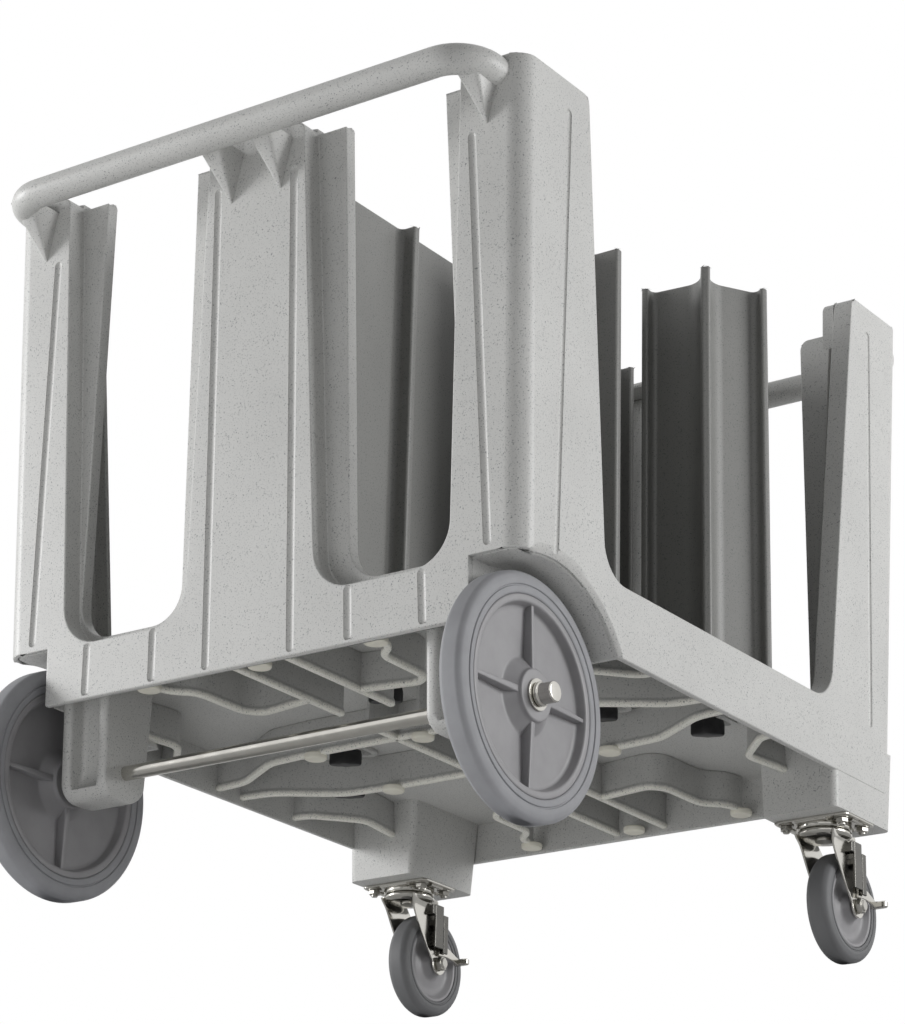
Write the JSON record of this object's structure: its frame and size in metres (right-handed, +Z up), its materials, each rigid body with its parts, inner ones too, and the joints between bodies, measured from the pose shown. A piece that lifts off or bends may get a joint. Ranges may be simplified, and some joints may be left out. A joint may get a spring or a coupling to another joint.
{
  "type": "plate dispenser cart",
  "caption": "Moulded cart with open post walls, sliding upright dividers for plate stacks, fixed rear wheels and braked swivel casters.",
  "frame": {"origin": "on the floor under the middle of the cart", "axes": "+Z up, +Y along the cart towards the swivel casters, +X across it to the right when seen from the large wheels"},
  "size_m": [0.7098, 0.9632, 0.8],
  "materials": {
    "body_plastic": "satin, light grey with fine dark flecks",
    "pad_plastic": "satin cream",
    "wheel_plastic": "satin mid grey",
    "big_tyre": "matt blue-grey",
    "caster_tyre": "matt dark grey",
    "bright_steel": "polished",
    "zinc_steel": "plated",
    "knob_plastic": "satin black"
  },
  "bodies": {
    "cart_body": {"rear_left_corner_post": "body_plastic", "rear_middle_post": "body_plastic", "rear_right_corner_post": "body_plastic", "front_left_corner_post": "body_plastic", "front_middle_post": "body_plastic", "front_right_corner_post": "body_plastic", "rear_end_panel": "body_plastic", "front_end_panel": "body_plastic", "side_rails": "body_plastic", "wheel_wells": "body_plastic", "rear_handle": "body_plastic", "front_handle": "body_plastic", "deck": "body_plastic", "axle_brackets": "body_plastic", "caster_housings": "body_plastic", "underside_ribs": "body_plastic", "underside_pads": "pad_plastic", "rear_axle": "bright_steel", "axle_cap_nuts": "bright_steel", "caster_plates": "bright_steel", "caster_plate_bolts": "zinc_steel"},
    "left_large_wheel": {"left_wheel_tyre": "big_tyre", "left_wheel_core": "wheel_plastic", "left_wheel_sleeve": "bright_steel"},
    "right_large_wheel": {"right_wheel_tyre": "big_tyre", "right_wheel_core": "wheel_plastic", "right_wheel_sleeve": "bright_steel"},
    "left_caster_swivel": {"left_caster_fork": "bright_steel", "left_caster_king_pin": "zinc_steel", "left_caster_axle_bolt": "zinc_steel"},
    "left_caster_wheel": {"left_caster_tyre": "caster_tyre", "left_caster_core": "wheel_plastic"},
    "left_brake_lever": {"left_caster_brake": "bright_steel"},
    "right_caster_swivel": {"right_caster_fork": "bright_steel", "right_caster_king_pin": "zinc_steel", "right_caster_axle_bolt": "zinc_steel"},
    "right_caster_wheel": {"right_caster_tyre": "caster_tyre", "right_caster_core": "wheel_plastic"},
    "right_brake_lever": {"right_caster_brake": "bright_steel"},
    "divider_front_right_set": {"divider_front_right": "body_plastic", "clamp_stud_front_right": "zinc_steel"},
    "clamp_knob_front_right_set": {"clamp_knob_front_right": "knob_plastic"},
    "divider_front_left_set": {"divider_front_left": "body_plastic", "clamp_stud_front_left": "zinc_steel"},
    "clamp_knob_front_left_set": {"clamp_knob_front_left": "knob_plastic"},
    "divider_middle_right_set": {"divider_middle_right": "body_plastic", "clamp_stud_middle_right": "zinc_steel"},
    "clamp_knob_middle_right_set": {"clamp_knob_middle_right": "knob_plastic"},
    "divider_middle_left_set": {"divider_middle_left": "body_plastic", "clamp_stud_middle_left": "zinc_steel"},
    "clamp_knob_middle_left_set": {"clamp_knob_middle_left": "knob_plastic"},
    "divider_rear_centre_set": {"divider_rear_centre": "body_plastic", "clamp_stud_rear_centre": "zinc_steel"},
    "clamp_knob_rear_centre_set": {"clamp_knob_rear_centre": "knob_plastic"},
    "divider_front_centre_set": {"divider_front_centre": "body_plastic", "clamp_stud_front_centre": "zinc_steel"},
    "clamp_knob_front_centre_set": {"clamp_knob_front_centre": "knob_plastic"}
  },
  "joints": [
    {"name": "left_large_wheel_spin", "type": "hinge", "parent": "cart_body", "child": "left_large_wheel", "pos_m": [-0.3035, -0.327, 0.127], "axis": [1, 0, 0], "continuous": true},
    {"name": "right_large_wheel_spin", "type": "hinge", "parent": "cart_body", "child": "right_large_wheel", "pos_m": [0.3035, -0.327, 0.127], "axis": [1, 0, 0], "continuous": true},
    {"name": "left_caster_swivel_turn", "type": "hinge", "parent": "cart_body", "child": "left_caster_swivel", "pos_m": [-0.293, 0.307, 0.13], "axis": [0, 0, 1], "continuous": true},
    {"name": "left_caster_wheel_spin", "type": "hinge", "parent": "left_caster_swivel", "child": "left_caster_wheel", "pos_m": [-0.293, 0.345, 0.0635], "axis": [1, 0, 0], "continuous": true},
    {"name": "left_brake_lever_turn", "type": "hinge", "parent": "left_caster_swivel", "child": "left_brake_lever", "pos_m": [-0.2697, 0.349, 0.0805], "axis": [1, 0, 0], "range_deg": [-18, 0]},
    {"name": "right_caster_swivel_turn", "type": "hinge", "parent": "cart_body", "child": "right_caster_swivel", "pos_m": [0.293, 0.307, 0.13], "axis": [0, 0, 1], "continuous": true},
    {"name": "right_caster_wheel_spin", "type": "hinge", "parent": "right_caster_swivel", "child": "right_caster_wheel", "pos_m": [0.293, 0.345, 0.0635], "axis": [1, 0, 0], "continuous": true},
    {"name": "right_brake_lever_turn", "type": "hinge", "parent": "right_caster_swivel", "child": "right_brake_lever", "pos_m": [0.3163, 0.349, 0.0805], "axis": [1, 0, 0], "range_deg": [-18, 0]},
    {"name": "divider_front_right_slide", "type": "slide", "parent": "cart_body", "child": "divider_front_right_set", "axis": [0, 1, 0], "range_m": [-0.036, 0.036]},
    {"name": "clamp_knob_front_right_turn", "type": "hinge", "parent": "divider_front_right_set", "child": "clamp_knob_front_right_set", "pos_m": [0.246, 0.127, 0.23], "axis": [0, 0, 1], "range_deg": [-180, 180]},
    {"name": "divider_front_left_slide", "type": "slide", "parent": "cart_body", "child": "divider_front_left_set", "axis": [0, 1, 0], "range_m": [-0.036, 0.036]},
    {"name": "clamp_knob_front_left_turn", "type": "hinge", "parent": "divider_front_left_set", "child": "clamp_knob_front_left_set", "pos_m": [-0.25, 0.121, 0.23], "axis": [0, 0, 1], "range_deg": [-180, 180]},
    {"name": "divider_middle_right_slide", "type": "slide", "parent": "cart_body", "child": "divider_middle_right_set", "axis": [0, 1, 0], "range_m": [-0.036, 0.036]},
    {"name": "clamp_knob_middle_right_turn", "type": "hinge", "parent": "divider_middle_right_set", "child": "clamp_knob_middle_right_set", "pos_m": [0.174, 0.018, 0.23], "axis": [0, 0, 1], "range_deg": [-180, 180]},
    {"name": "divider_middle_left_slide", "type": "slide", "parent": "cart_body", "child": "divider_middle_left_set", "axis": [0, 1, 0], "range_m": [-0.036, 0.036]},
    {"name": "clamp_knob_middle_left_turn", "type": "hinge", "parent": "divider_middle_left_set", "child": "clamp_knob_middle_left_set", "pos_m": [-0.174, 0.012, 0.23], "axis": [0, 0, 1], "range_deg": [-180, 180]},
    {"name": "divider_rear_centre_slide", "type": "slide", "parent": "cart_body", "child": "divider_rear_centre_set", "axis": [1, 0, 0], "range_m": [-0.036, 0.036]},
    {"name": "clamp_knob_rear_centre_turn", "type": "hinge", "parent": "divider_rear_centre_set", "child": "clamp_knob_rear_centre_set", "pos_m": [0.0065, -0.155, 0.23], "axis": [0, 0, 1], "range_deg": [-180, 180]},
    {"name": "divider_front_centre_slide", "type": "slide", "parent": "cart_body", "child": "divider_front_centre_set", "axis": [1, 0, 0], "range_m": [-0.036, 0.036]},
    {"name": "clamp_knob_front_centre_turn", "type": "hinge", "parent": "divider_front_centre_set", "child": "clamp_knob_front_centre_set", "pos_m": [0.0065, 0.16, 0.23], "axis": [0, 0, 1], "range_deg": [-180, 180]}
  ]
}
